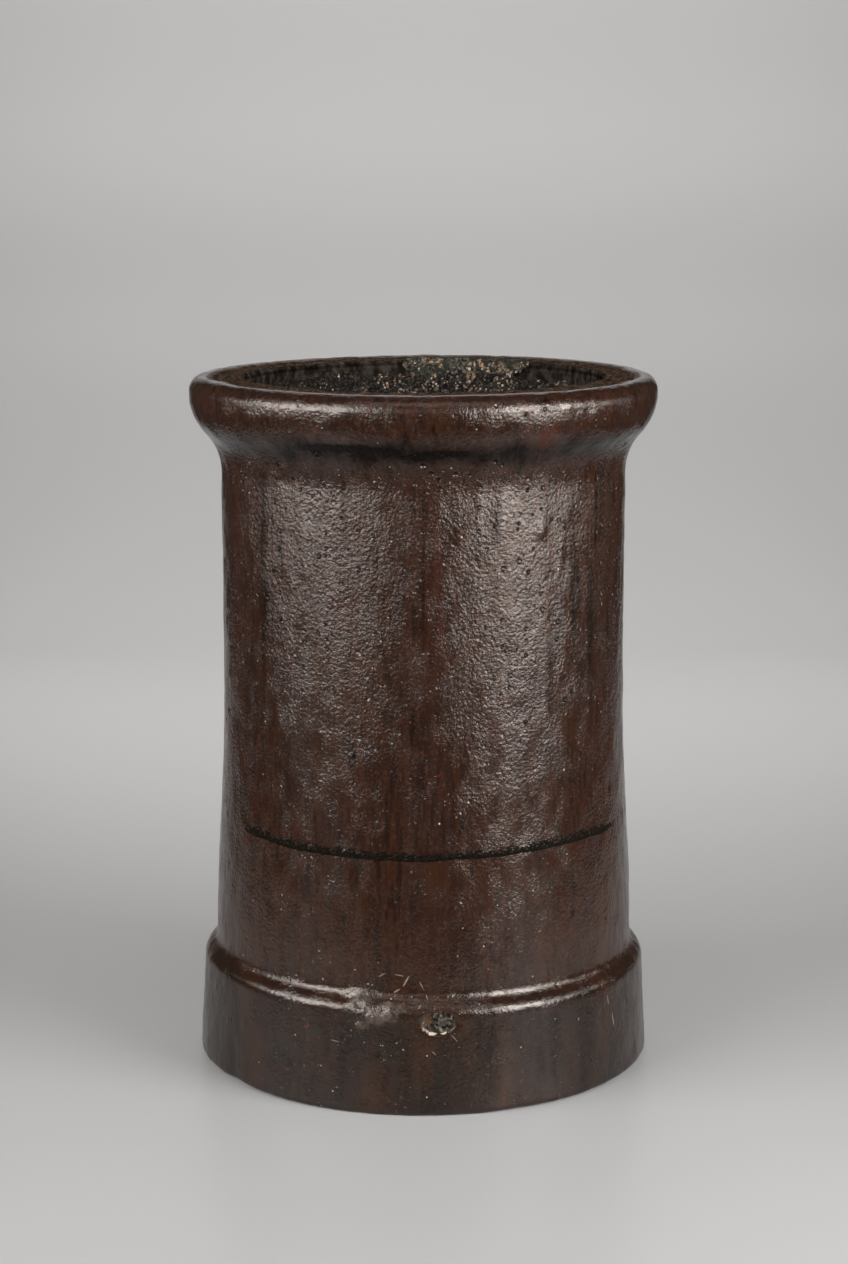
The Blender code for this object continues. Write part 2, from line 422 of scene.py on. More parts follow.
# what happened to this one pot: runs, blisters, chips and dirt, each at its own place on the outside:
# degrees round from the front towards +X, height, half width and half height in mm, lean clockwise in
# degrees, how far it stands proud in mm, and the strengths of its stains
marks = [
    # runs of glaze below the neck, right of the front
    (15.2, 384, 1.7, 26, 2, 0.55), (20.6, 384, 1.9, 26, 4, 0.6, {"stain": 0.35}),
    (34.2, 388, 2.2, 20, -3, 0.7), (33.1, 369.5, 3.6, 5.5, 0, 1.5), (40.4, 352, 2.2, 17, 3, 0.6),
    (27.0, 398, 2.0, 12, 0, 0.4), (9.5, 340.3, 3.2, 1.1, 0, 0.6),
    (9.5, 338.4, 3.6, 1.0, 0, -0.5, {"stain": 0.6}),
    # dark runs down the flanks and the dark middle
    (-49.5, 345, 3.6, 62, 1, 0.25, {"stain": 0.45}), (-64.0, 340, 6.0, 60, 0, 0.2, {"warm": 0.6}),
    (3.0, 330, 9, 90, 0, 0.0, {"warm": 0.25}), (53.0, 300, 4.0, 34, 0, 0.35, {"stain": 0.6}),
    (63.8, 296, 3.4, 26, 0, 0.3, {"stain": 0.5}), (47.0, 330, 3.0, 30, -8, 0.2, {"stain": 0.4}),
    (-20.0, 423, 30, 3.4, -1, -0.2, {"stain": 1.6}), (6.0, 421, 20, 3.0, 0, 0.1, {"stain": 1.4}),
    # the roll: a burst blister, a crescent where another healed, and a bald triangle
    (24.0, 443.9, 1.9, 1.7, 0, -1.1, {"stain": 1.0}), (27.9, 447.5, 1.5, 1.2, 0, -0.7, {"stain": 0.8}),
    (28.2, 453.0, 5.6, 1.1, 0, -0.8, {"stain": 0.8}), (28.2, 454.6, 5.0, 1.2, 0, 0.5),
    (30.8, 429, 9.0, 8, 0, -0.15, {"warm": 1.0}), (37.5, 446, 1.7, 8, 0, -0.6, {"stain": 0.3}),
    (42.0, 446, 1.5, 7, 0, -0.5),
    # the base: glaze and grit smeared over the ledge, with pits in it
    (-11.0, 65.5, 10, 4.2, -8, 0.9, {"smear": 0.9}), (-7.8, 72.0, 8, 4, 8, 0.8, {"smear": 0.7}),
    (-17.0, 76.0, 8, 5, 12, 1.0, {"smear": 0.9}), (-15.5, 59.0, 3.0, 2.4, 0, 0.9, {"smear": 1.0}),
    (-19.8, 75.2, 2.2, 1.9, 0, -1.8), (-16.2, 72.2, 2.2, 1.9, 0, -1.8),
    (-10.0, 69.3, 2.0, 1.8, 0, -1.2), (-6.2, 81.5, 4.5, 2.6, 50, 0.8),
    # the foot: a drying crack and knocks
    (-55.6, 14, 2.0, 11, 0, -0.7), (-54.0, 3, 9, 4.5, 0, -1.3, {"stain": 0.2}),
    (24.0, 1, 7, 3.5, 0, -0.8), (140.0, 3, 10, 5, 0, -1.6, {"stone": 0.9}),
    (-118.0, 64, 6, 5, 0, -1.4, {"stone": 0.9}), (171.0, 430, 7, 5, 0, -1.2, {"stone": 0.8}),
]
# the chip on the ledge, with a rusty left side and broken stone in its hollow
chip = {"turn": 4.0, "height": 63.0, "halfWide": 10.2, "halfTall": 7.6, "lean": -8,
        "depth": 3.0, "rough": 0.9}

random = np.random.default_rng(41)
for i in range(110):             # small pits, blisters and flecks of grit in the glaze all round
    wide = random.uniform(0.9, 1.9)
    kind = random.choice(["pit", "pit", "blister", "plain", "plain"])
    oval = (random.uniform(-180, 180), random.uniform(20, 446), wide, wide * random.uniform(0.8, 1.5),
            random.uniform(-40, 40))
    push = -random.uniform(0.5, 1.1)
    if kind == "blister":
        push = random.uniform(0.4, 0.8)
    marks.append((*oval, push, {"stain": 0.8 if kind == "pit" else 0.0}))
for i in range(46):              # runs of glaze down the wall, most of them short, and below the neck
    tall = random.uniform(12, 46)
    top = random.uniform(240, 405)
    marks.append((random.uniform(-180, 180), top - tall * 0.4, random.uniform(1.4, 3.4), tall,
                  random.uniform(-3, 3), random.uniform(0.15, 0.4),
                  {"stain": random.choice([0.0, 0.0, 0.35, 0.6])}))


# the tide line that the roof left round the pot, in millimetres and degrees: crisp below, crumbling upwards,
# tallest at the flanks, and thinned out to scraps past 56 degrees from the front
tideShape = {"level": 164.6, "waver": 1.1, "tall": 4.9, "tallerAtFlanks": 2.2, "ragged": 2.6, "thick": 0.3,
             "bed": 1.0, "fadeFrom": 56, "fadeOver": 8, "columns": 1080, "rows": 14, "step": 0.6}


def tideAt(turnTo):
    # height in mm of the line's lower edge
    slow = 2.6 * math.cos(math.radians(turnTo + 75)) + 2.4 * math.cos(math.radians(2 * (turnTo - 62)))
    spotThere = Vector((math.sin(math.radians(turnTo)), math.cos(math.radians(turnTo)), 0)) * 4.5
    return tideShape["level"] + slow + tideShape["waver"] * noise.noise(spotThere)


points = np.empty(len(wallMesh.vertices) * 3)
wallMesh.vertices.foreach_get("co", points)
points = points.reshape(-1, 3)
normals = np.empty(len(wallMesh.vertices) * 3)
wallMesh.vertex_normals.foreach_get("vector", normals)
normals = normals.reshape(-1, 3)
run = np.empty(len(points))
wallMesh.attributes["run"].data.foreach_get("value", run)
angle = np.degrees(np.arctan2(points[:, 0], -points[:, 1]))
height = points[:, 2] / mm
outside = run < runs[outerEnd] + 1.0


def soft(x):
    return np.clip(x, 0, 1) ** 2 * (3 - 2 * np.clip(x, 0, 1))


def aside(turnTo, markHeight, lean):
    # how far each point lies from a mark, across and along the wall, in mm, in the mark's own turned axes
    across = np.radians((angle - turnTo + 180) % 360 - 180) * flatRadius
    along = runAt(markHeight) - run
    lean = math.radians(lean)
    return across * math.cos(lean) - along * math.sin(lean), across * math.sin(lean) + along * math.cos(lean)


def wander(scale, seed, stretch=1.0):
    # slow unevenness of the clay, -1 to 1, `scale` mm from swell to swell
    out = np.empty(len(points))
    shift = Vector((seed, seed, seed))
    for i, p in enumerate(points):
        out[i] = noise.noise(Vector((p[0], p[1], p[2] / stretch)) * (1000 / scale) + shift)
    return out


pushed = np.zeros(len(points))
stains = {name: np.zeros(len(points)) for name in ("stain", "rust", "pale", "stone", "smear", "warm")}
for turnTo, level, wide, tall, lean, push, *stained in marks:
    across, along = aside(turnTo, level, lean)
    nearBy = outside * np.exp(-(across / wide) ** 2 - (along / tall) ** 2)
    pushed += nearBy * push
    for name, strength in (stained[0] if stained else {}).items():
        np.maximum(stains[name], np.minimum(nearBy * 1.4, 1.0) * strength, out=stains[name])

# painted shade with soot and dark glaze: the hollow of the neck, 420 mm up, is darkened, part of it for the shade
# that falls there and part for the soot and dark glaze that lie there
neckShadeAndSoot = np.exp(-((height - 420) / 8.5) ** 2) * outside * (0.8 + 0.4 * wander(22, 6.0, 0.5))
stains["stain"] = np.maximum(stains["stain"], neckShadeAndSoot)
rough = wander(4.6, 11.0)
pushed += stains["smear"] * 0.9 * wander(5.2, 17.0)
across, along = aside(chip["turn"], chip["height"], chip["lean"])
fromChip = np.hypot(across / chip["halfWide"], along / chip["halfTall"])
inChip = soft((1.12 - fromChip + 0.12 * rough) / 0.3) * outside
pushed = pushed * (1 - inChip) - inChip * (chip["depth"] + chip["rough"] * rough)
stains["stone"] = np.maximum(stains["stone"], inChip)
stains["rust"] = np.maximum(stains["rust"], inChip * soft((-across - 4.0) / 3) * soft((along + 3) / 3))
for name in ("pale", "stain", "smear"):
    stains[name] *= 1 - inChip
chipEdge = inChip * soft((0.62 - inChip) * 4) + soft((0.3 - np.abs(inChip - 0.5)) * 4)
stains["pale"] = np.maximum(stains["pale"], chipEdge * soft((-along - 1.0) / 3) * soft((7 - across) / 5))

# the bare rim has a ragged edge; the clay there shows the fine rings of the turning
rimWear = {"bareWidth": 25.5, "ragged": 2.0, "worn": 0.95, "folds": 0.5, "foldsAtSides": 0.9,
           "mouthLumps": 0.9}                        # mm
bareWidth = rimWear["bareWidth"] + rimWear["ragged"] * wander(26, 5.0)
bareRim = np.where(run > runs[boreStart], 10.0, bareWidth - run)
rimTop = soft((bareRim + 2) / 4) * (run < 30)
folds = np.array([noise.noise(Vector((p[0] * 60, p[1] * 60, r / 3.4))) for p, r in zip(points, run)])
sides = np.abs(np.sin(np.radians(angle)))
foldHeight = rimWear["folds"] + rimWear["foldsAtSides"] * sides
pushed += rimTop * (foldHeight * folds + 0.45 * wander(5.5, 21.0) + 0.3 * wander(11, 2.0)
                    - rimWear["worn"])
mouthLumps = soft((rimTop + 1.2 * wander(6.0, 33.0) - 1.15) * 4) * soft((9 - run) / 6) * (run < 12)
pushed += rimWear["mouthLumps"] * mouthLumps

# the ledge was turned a little out of level: higher at the left, lower at the right and at the front.
# The foot is worn round at the left, and the rim dips at the left rear. All in millimetres
outOfTrue = {"sag": 0.8, "sagInFront": 1.7, "tilt": 1.0, "waver": 0.5, "footWorn": 1.4, "footReach": 26,
             "rimDip": 1.0, "ledge": 72, "ledgeReach": 26}
points = points + normals * (pushed * mm)[:, None]
sag = -outOfTrue["sag"] - outOfTrue["sagInFront"] * soft(np.cos(np.radians(angle)))
sag = sag - outOfTrue["tilt"] * np.sin(np.radians(angle))
sag = sag + outOfTrue["waver"] * np.cos(np.radians(2 * angle + 40))
points[:, 2] += np.exp(-((height - outOfTrue["ledge"]) / outOfTrue["ledgeReach"]) ** 2) * outside * sag * mm
reach = outOfTrue["footReach"]
footWorn = outOfTrue["footWorn"] * soft((reach - height) / reach) * (height < reach)
points[:, 2] += np.exp(-((angle + 62) / 22) ** 2) * footWorn * mm
rimDip = outOfTrue["rimDip"] * soft((height - 436) / 18)
points[:, 2] -= np.exp(-((angle + 120) / 45) ** 2) * rimDip * mm

tideTurns = range(-180, 181)
tide = np.where(outside, height - np.interp(angle, tideTurns, [tideAt(t) for t in tideTurns]), 60.0)
soot = np.where(run > runs[boreStart], soft((456.2 - height) / 3), 0.0)
soot = np.maximum(soot, soft((4.2 - run) / 3) * (run < 6))
underside = (run > runs[outerEnd]) & (run < runs[boreStart])
bareRim = np.where(underside, 10.0, np.where(run > runs[boreStart], 10.0, bareRim))
# how strongly the glaze has crawled: coarse on the body, finer on the roll, the ledge and the base
coarse = 1 - 0.4 * soft((height - 404) / 14) - 0.45 * soft((300 - height) / 120) + 0.6 * wander(10, 27.0, 1.5)
coarse = np.clip(coarse, 0.35, 1.5)

# nothing passes the solid's own box
limit = (pot["bodyRadius"] + pot["rimOverhang"]) * mm
points[:, 2] = np.clip(points[:, 2], 0.0, pot["height"] * mm)
radius = np.hypot(points[:, 0], points[:, 1])
points[:, :2] *= np.minimum(1.0, limit / radius)[:, None]
wallMesh.vertices.foreach_set("co", points.ravel())
for name, values in {**stains, "bareRim": bareRim, "tide": tide, "soot": soot, "coarse": coarse}.items():
    wallMesh.attributes.new(name, "FLOAT", "POINT").data.foreach_set("value", values)
wallMesh.attributes.remove(wallMesh.attributes["fineness"])
wallMesh.update()
print("marks:", len(marks), "on the outside, and the chip")


# materials
def readFrom(name):
    material = bpy.data.materials.get(name) or bpy.data.materials.new(name)
    material.use_nodes = True
    tree = material.node_tree
    place = addNode(tree, "ShaderNodeTexCoord").outputs["Object"]
    return material, tree, tree.nodes["Principled BSDF"], place


def clouding(tree, place, size, stretch=1.0, detail=3.0, low=0.4, high=0.6, shift=0.0):
    # patches about `size` mm across, drawn out up and down the pot by `stretch`: 0 between them, 1 in them
    drawn = addNode(tree, "ShaderNodeMapping",
                    {"Vector": place, "Location": (shift, shift, shift), "Scale": (1, 1, 1 / stretch)})
    wave = addNode(tree, "ShaderNodeTexNoise", {"Vector": drawn, "Scale": 1000 / size, "Detail": detail})
    return addNode(tree, "ShaderNodeMapRange", {"Value": wave, "From Min": low, "From Max": high})


def speckling(tree, place, spacing, radius, share, shift=0.0):
    # round spots up to `radius` mm, in a share of cells `spacing` mm apart: 1 in the middle of a spot
    drawn = addNode(tree, "ShaderNodeMapping", {"Vector": place, "Location": (shift, shift, shift)})
    cells = addNode(tree, "ShaderNodeTexVoronoi", {"Vector": drawn, "Scale": 1000 / spacing})
    chance = addNode(tree, "ShaderNodeSeparateColor", {"Color": cells.outputs["Color"]}).outputs["Red"]
    reach = addNode(tree, "ShaderNodeMapRange", {"Value": chance, "From Min": 1 - share, "From Max": 1.0,
                                                 "To Max": radius / spacing})
    inside = addNode(tree, "ShaderNodeMath", {0: reach, 1: cells.outputs["Distance"]}, operation="SUBTRACT")
    return addNode(tree, "ShaderNodeMapRange", {"Value": inside, "From Max": 0.5 * radius / spacing})


def edged(tree, value, ragged, amount, start, end):
    # a mask from a smooth value on the mesh: its edge between start and end, torn by a noise
    torn = addNode(tree, "ShaderNodeMath", {0: ragged, 1: amount, 2: value}, operation="MULTIPLY_ADD")
    return addNode(tree, "ShaderNodeMapRange", {"Value": torn, "From Min": start, "From Max": end})


def unrolled(tree, place, runHere):
    # the wall laid out flat, in mm: round from the front, and down from the rim's inner edge
    axes = addNode(tree, "ShaderNodeSeparateXYZ", {"Vector": place}).outputs
    toFront = addNode(tree, "ShaderNodeMath", {0: axes["Y"], 1: -1.0}, operation="MULTIPLY")
    around = addNode(tree, "ShaderNodeMath", {0: axes["X"], 1: toFront}, operation="ARCTAN2")
    across = addNode(tree, "ShaderNodeMath", {0: around, 1: flatRadius}, operation="MULTIPLY")
    return addNode(tree, "ShaderNodeCombineXYZ", {"X": across, "Y": runHere})


def overlap(tree, *masks):
    # where all the masks lie over each other
    shared = masks[0]
    for mask in masks[1:]:
        shared = addNode(tree, "ShaderNodeMath", {0: shared, 1: mask}, operation="MULTIPLY")
    return shared


def layered(tree, ground, layers):
    # colours laid over each other, each through its own mask
    colour = toLinear(ground)
    for mask, hexColour in layers:
        colour = addNode(tree, "ShaderNodeMix", {"Factor": mask, "A": colour, "B": toLinear(hexColour)},
                         data_type="RGBA")
    return colour


def summed(tree, terms):
    # heights or roughnesses added up: pairs of a mask and what it adds
    total = terms[0]
    for mask, amount in terms[1:]:
        total = addNode(tree, "ShaderNodeMath", {0: mask, 1: amount, 2: total}, operation="MULTIPLY_ADD")
    return total


def finishLook(tree, shader, colour, roughness, relief, strength=1.0):
    # relief is in millimetres
    raised = addNode(tree, "ShaderNodeBump", {"Height": relief, "Distance": mm, "Strength": strength})
    for socket, value in (("Base Color", colour), ("Roughness", roughness), ("Normal", raised)):
        tree.links.new(next(s for s in value.outputs if s.enabled), shader.inputs[socket])


# what is too fine for the mesh: scratches, flecks, cracks and one painted shadow, drawn on the unrolled wall.
# degrees round from the front, height in mm, half width and half height in mm, lean clockwise in degrees
paleStrokes = [
    (-0.4, 84.4, 0.31, 3.36, -28), (0.9, 77.6, 0.28, 2.08, -12), (-0.9, 72.8, 0.31, 2.08, 26),
    (-6.9, 81.0, 0.56, 2.88, 58), (-4.5, 87.0, 0.5, 4.32, 30), (-10.8, 90.3, 0.31, 2.56, 62),
    (-6.3, 90.6, 0.31, 3.36, 98), (-3.0, 77.6, 0.62, 0.68, 0), (8.9, 102.4, 0.5, 0.56, 0),
    (-27.3, 83.6, 0.68, 0.74, 20), (-18.1, 92.2, 0.99, 0.5, 0), (-13.4, 83.7, 0.68, 0.5, 0),
    (-4.9, 44.2, 0.87, 0.62, 20), (-6.5, 48.7, 0.56, 0.5, 0), (7.6, 52.0, 0.28, 3.68, -38),
    (-22.0, 46.6, 3.36, 0.31, 8), (2.6, 42.0, 0.28, 2.08, -40), (54.2, 58.5, 0.3, 5.0, -9),
    (56.4, 42.5, 0.37, 7.2, -12), (7.0, 402.1, 0.56, 0.68, -20), (4.4, 379.0, 0.62, 0.5, 0),
    (11.8, 350.2, 0.5, 1.44, -35), (59.4, 315.2, 0.43, 1.28, 0), (-43.7, 404.4, 0.56, 0.68, -30),
    (-57.4, 397.7, 0.5, 0.56, 0), (-35.4, 298.5, 0.81, 0.5, 10), (-39.5, 286.7, 0.74, 0.56, 20),
    (40.4, 405.0, 0.5, 0.74, 0),
]
rustStrokes = [
    (-4.8, 320.4, 1.24, 0.5, -10), (-7.8, 334.0, 0.5, 1.76, 8), (10.1, 339.6, 1.24, 0.43, 12),
    (31.4, 375.6, 0.56, 1.28, 20), (0.8, 391.1, 0.62, 0.62, 0), (-13.9, 94.0, 0.62, 0.43, 0),
    (-5.0, 74.0, 1.36, 1.28, 10),
]
# dark strokes: a crack at the foot, the black in pits, blisters and crescents, and one painted shadow: the thin dark
# arc at 32.6 degrees, 365 mm up, under the bulb at the end of a run of glaze
darkStrokes = [
    (-55.5, 14.0, 0.55, 10.5, 2), (-19.8, 75.2, 1.0, 0.9, 0), (-16.2, 72.2, 1.1, 1.0, 0),
    (-10.0, 69.3, 0.9, 0.8, 0), (11.2, 341.0, 1.2, 1.0, 0), (32.6, 365.2, 3.6, 0.8, -12),
    (24.0, 443.9, 1.1, 0.9, 0), (27.9, 447.8, 0.8, 0.6, 0), (28.2, 452.6, 5.2, 0.6, 0),
]


def strokes(tree, wallPlace, ragged, drawn):
    # thin ovals on the unrolled wall, all in one mask: 1 in an oval, 0 outside, torn at the edge
    nearest = None
    for turnTo, level, halfWide, halfTall, lean in drawn:
        laid = {"Location": (math.radians(turnTo) * flatRadius, runAt(level), 0),
                "Rotation": (0, 0, math.radians(lean)), "Scale": (halfWide, halfTall, 1)}
        oval = addNode(tree, "ShaderNodeMapping", {"Vector": wallPlace, **laid}, vector_type="TEXTURE")
        gap = addNode(tree, "ShaderNodeVectorMath", {0: oval}, operation="LENGTH")
        if nearest:
            gap = addNode(tree, "ShaderNodeMath", {0: nearest, 1: gap}, operation="MINIMUM")
        nearest = gap
    torn = addNode(tree, "ShaderNodeMath", {0: ragged, 1: 0.9, 2: nearest}, operation="MULTIPLY_ADD")
    return addNode(tree, "ShaderNodeMapRange", {"Value": torn, "From Min": 1.5, "From Max": 1.05})


# salt-glazed stoneware: iron-rich clay fired in a salt kiln, so a thin dark brown glass lies over it in a
# tight orange peel. It gives the eye a near-black red-brown with broken, silvery highlights; where the
# glass is thin the clay burns through rusty, and on the bare rim it is a dull grey-brown
glazeLook = {
    "ground": "#20130e", "redBrown": "#301c12", "plum": "#261a18", "black": "#080504", "burnt": "#4a2a1b",
    "umber": "#120a07", "base": "#19120e", "clayBrown": "#35231b",
    "orange": "#6b4833", "white": "#a99a8a", "olive": "#2e1b10", "rose": "#33180e",
    "smear": "#2e2521", "smearPale": "#554b44", "scratch": "#74685c",
    "bareClay": "#4d3e34", "barePale": "#7a6654", "bareDark": "#2a2019",
    "stoneDark": "#0a0908", "stonePale": "#736c62", "stoneRust": "#4a3728",
    "peel": 2.3, "crease": 2.6, "pinhole": 5.0, "ripple": 1.8,     # mm from crest to crest
    "peelHeight": 0.42, "creaseDepth": 0.12, "pinholeDepth": 1.3, "pinprickDepth": 0.42,
    "rippleHeight": 0.14, "roughness": 0.1, "ior": 1.52,
}
look = glazeLook
glaze, tree, shader, place = readFrom("matSaltGlazedStoneware")
worn = {name: addNode(tree, "ShaderNodeAttribute", attribute_name=name).outputs["Fac"]
        for name in ("run", "bareRim", "tide", "stain", "rust", "pale", "stone", "smear", "warm", "coarse")}
wallPlace = unrolled(tree, place, worn["run"])
tear = addNode(tree, "ShaderNodeTexNoise", {"Vector": place, "Scale": 1000 / 3.0, "Detail": 4.0})
flow = clouding(tree, place, 11.0, stretch=9.0, detail=4.0, low=0.36, high=0.64)
drift = clouding(tree, place, 60.0, stretch=2.5, low=0.4, high=0.66, shift=3.1)
mottle = clouding(tree, place, 4.0, stretch=1.5, detail=4.0, low=0.42, high=0.7, shift=7.7)
burning = clouding(tree, place, 2.6, stretch=1.3, detail=5.0, low=0.6, high=0.76, shift=1.3)
burnDrift = clouding(tree, place, 34.0, stretch=3.0, low=0.42, high=0.62, shift=8.4)
# the salt has pitted the glass where it is thick, and hardly at all low on the pot
pitted = addNode(tree, "ShaderNodeMapRange", {"Value": worn["coarse"], "From Min": 0.6, "From Max": 1.1})
pinholes = overlap(tree, speckling(tree, place, look["pinhole"], 2.1, 0.8), pitted)
streaky = clouding(tree, place, 3.4, stretch=7.0, detail=4.0, low=0.47, high=0.68, shift=5.5)
dappled = clouding(tree, place, 2.3, stretch=1.6, detail=3.0, low=0.52, high=0.72, shift=0.6)
pinpricks = speckling(tree, place, 3.1, 0.75, 0.5, shift=6.0)
whiteFlecks = speckling(tree, place, 7.5, 0.8, 0.3, shift=2.0)
tanFlecks = speckling(tree, place, 6.0, 0.7, 0.35, shift=5.0)
bare = edged(tree, worn["bareRim"], tear, 7.0, 3.0, 4.6)
# the dark mask: runs, pits and soot, and the painted shade in the neck's hollow; it paints them near-black and dulls
# their shine
darkTorn = addNode(tree, "ShaderNodeMath", {0: flow, 1: 0.45, 2: worn["stain"]}, operation="MULTIPLY_ADD")
dark = edged(tree, darkTorn, tear, 0.9, 0.7, 1.6)
# how far the noise tears the edge of each of these marks, and the strengths at which it starts and is full
stainEdges = {"stone": (0.5, 0.62, 0.8), "rust": (0.9, 0.62, 1.1), "pale": (1.3, 0.95, 1.25),
              "smear": (1.0, 0.7, 1.1), "warm": (0.5, 0.3, 1.0)}
rawStone, rusty, chalky, smeared, warm = (
    edged(tree, worn[name], tear, *edge) for name, edge in stainEdges.items())
paleMarks = strokes(tree, wallPlace, tear, paleStrokes)
rustMarks = strokes(tree, wallPlace, tear, rustStrokes)
# the dark strokes, painted near-black; among them the painted shadow under the run's bulb
darkMarks = strokes(tree, wallPlace, tear, darkStrokes)

# the smudge above the tide line, and the browner and olive grounds below it and below the ledge
lineTear = clouding(tree, place, 2.2, detail=3.0, low=0.3, high=0.7, shift=4.0)
smudge = clouding(tree, place, 9.0, detail=4.0, low=0.45, high=0.75, shift=6.0)
lineLow = edged(tree, worn["tide"], lineTear, 1.6, -0.9, -0.1)
smudgeTop = edged(tree, worn["tide"], smudge, -9.0, 6.0, -6.0)
tideSmudge = overlap(tree, lineLow, smudgeTop, smudge)
belowTide = edged(tree, worn["tide"], lineTear, 0.0, 0.0, -1.5)
belowLedge = edged(tree, worn["tide"], smudge, 14.0, -76.0, -100.0)
oliveDrift = clouding(tree, place, 24.0, stretch=3.5, detail=4.0, low=0.48, high=0.75, shift=9.9)
oliveStain = overlap(tree, belowTide, oliveDrift)

bareTone = clouding(tree, place, 2.4, detail=5.0, low=0.4, high=0.62, shift=1.9)
grit = addNode(tree, "ShaderNodeTexVoronoi", {"Vector": place, "Scale": 1000 / 1.7})
gritTone = addNode(tree, "ShaderNodeSeparateColor", {"Color": grit.outputs["Color"]}).outputs["Red"]

colour = layered(tree, look["ground"], [
    (flow, look["redBrown"]), (overlap(tree, drift, mottle), look["plum"]),
    (dappled, look["clayBrown"]), (belowLedge, look["base"]), (streaky, look["ground"]),
    (overlap(tree, streaky, mottle), look["umber"]),
    (overlap(tree, burning, burnDrift), look["burnt"]), (oliveStain, look["olive"]),
    (overlap(tree, tideSmudge, mottle), look["black"]),
    (pinholes, look["black"]), (pinpricks, look["black"]),
    (tanFlecks, look["orange"]), (whiteFlecks, look["white"]),
    # dark, painted near-black: runs, pits and soot, with the painted shade of the neck's hollow
    (dark, look["black"]), (overlap(tree, warm, flow), look["rose"]), (smeared, look["smear"]),
    (overlap(tree, smeared, mottle), look["smearPale"]), (rusty, look["orange"]), (chalky, look["white"]),
    (rustMarks, look["burnt"]), (paleMarks, look["scratch"]), (darkMarks, look["black"]),
])
clay = layered(tree, look["bareClay"], [
    (bareTone, look["bareDark"]), (overlap(tree, tanFlecks, bareTone), look["barePale"]),
    (chalky, look["white"])])
stone = layered(tree, look["stoneDark"], [
    (overlap(tree, gritTone, gritTone), look["stonePale"]),
    (overlap(tree, gritTone, bareTone), look["stoneDark"]), (rusty, look["stoneRust"])])
for mask, over in ((bare, clay), (rawStone, stone)):
    colour = addNode(tree, "ShaderNodeMix", {"Factor": mask, "A": colour, "B": over}, data_type="RGBA")
gloss = summed(tree, [look["roughness"], (mottle, 0.07), (flow, 0.03), (bare, 0.42),
                      (rawStone, 0.6), (chalky, 0.3), (rusty, 0.2), (paleMarks, 0.3)])
peel = addNode(tree, "ShaderNodeTexNoise", {"Vector": place, "Scale": 1000 / look["peel"], "Detail": 3.0,
                                            "Roughness": 0.62})
crease = addNode(tree, "ShaderNodeTexNoise", {"Vector": place, "Scale": 1000 / look["crease"], "Detail": 2.0},
                 noise_type="RIDGED_MULTIFRACTAL")
upright = addNode(tree, "ShaderNodeMapping", {"Vector": place, "Scale": (1, 1, 0.09)})
ripple = addNode(tree, "ShaderNodeTexNoise",
                 {"Vector": upright, "Scale": 1000 / look["ripple"], "Detail": 2.0})
relief = summed(tree, [
    0.0, (peel, look["peelHeight"] * 2), (crease, -look["creaseDepth"]), (ripple, look["rippleHeight"]),
    (pinholes, -look["pinholeDepth"]), (pinpricks, -look["pinprickDepth"]),
    (overlap(tree, bare, bareTone), 0.35), (overlap(tree, rawStone, gritTone), 0.9),
    (overlap(tree, smeared, mottle), 0.4)])
finishLook(tree, shader, colour, gloss, relief, worn["coarse"])
shader.inputs["IOR"].default_value = look["ior"]
# soot, dirt and bare clay are porous and shine less than the glass; in the neck's hollow this dulled shine is part
# of the painted shade
glassShine, dirtAndShadeShine, clayShine = (1.0, 0.93, 0.88, 1.0), (0.03, 0.02, 0.01, 1.0), (0.12, 0.11, 0.1, 1.0)
shine = glassShine
for mask, weaker in ((dark, dirtAndShadeShine), (bare, clayShine), (rawStone, clayShine)):
    shine = addNode(tree, "ShaderNodeMix", {"Factor": mask, "A": shine, "B": weaker}, data_type="RGBA")
tree.links.new(next(s for s in shine.outputs if s.enabled), shader.inputs["Specular Tint"])

# bare stoneware: where the glass never reached or has gone, on the rim's top, under the foot and down the
# flue. Rough grey-brown clay, blackened by smoke inside, with no shine
bareLook = {"soot": "#1b1613", "sootGrey": "#443e38", "ring": "#66564a", "specular": 0.0, "roughness": 0.8}
bareStoneware, tree, shader, place = readFrom("matSmokedBareStoneware")
bareTone = clouding(tree, place, 2.4, detail=5.0, low=0.4, high=0.62, shift=1.9)
tanFlecks = speckling(tree, place, 5.0, 0.7, 0.25, shift=5.0)
sootTear = addNode(tree, "ShaderNodeTexNoise", {"Vector": place, "Scale": 1000 / 3.0, "Detail": 4.0})
sootHere = addNode(tree, "ShaderNodeAttribute", attribute_name="soot").outputs["Fac"]
sooty = edged(tree, sootHere, sootTear, 0.8, 0.5, 0.9)
sootStreak = clouding(tree, place, 5.5, stretch=1.5, detail=5.0, low=0.42, high=0.74, shift=2.7)
# the fine rings that the turning left, 2 mm apart
runHere = addNode(tree, "ShaderNodeAttribute", attribute_name="run").outputs["Fac"]
ringPlace = addNode(tree, "ShaderNodeMapping",
                    {"Vector": unrolled(tree, place, runHere), "Scale": (0.03, 0.5, 1)})
ringWave = addNode(tree, "ShaderNodeTexNoise", {"Vector": ringPlace, "Scale": 1.0, "Detail": 3.0})
rings = addNode(tree, "ShaderNodeMapRange", {"Value": ringWave, "From Min": 0.42, "From Max": 0.75})
clay = layered(tree, look["bareClay"], [
    (rings, bareLook["ring"]), (bareTone, look["bareDark"]),
    (overlap(tree, tanFlecks, bareTone), look["barePale"])])
wallSoot = layered(tree, bareLook["soot"], [
    (sootStreak, bareLook["sootGrey"]), (tanFlecks, look["bareClay"])])
colour = addNode(tree, "ShaderNodeMix", {"Factor": sooty, "A": clay, "B": wallSoot}, data_type="RGBA")
finishLook(tree, shader, colour, summed(tree, [bareLook["roughness"], (bareTone, 0.15)]),
           summed(tree, [0.0, (bareTone, 0.5), (tanFlecks, 0.2), (rings, 0.6)]))
shader.inputs["Specular IOR Level"].default_value = bareLook["specular"]

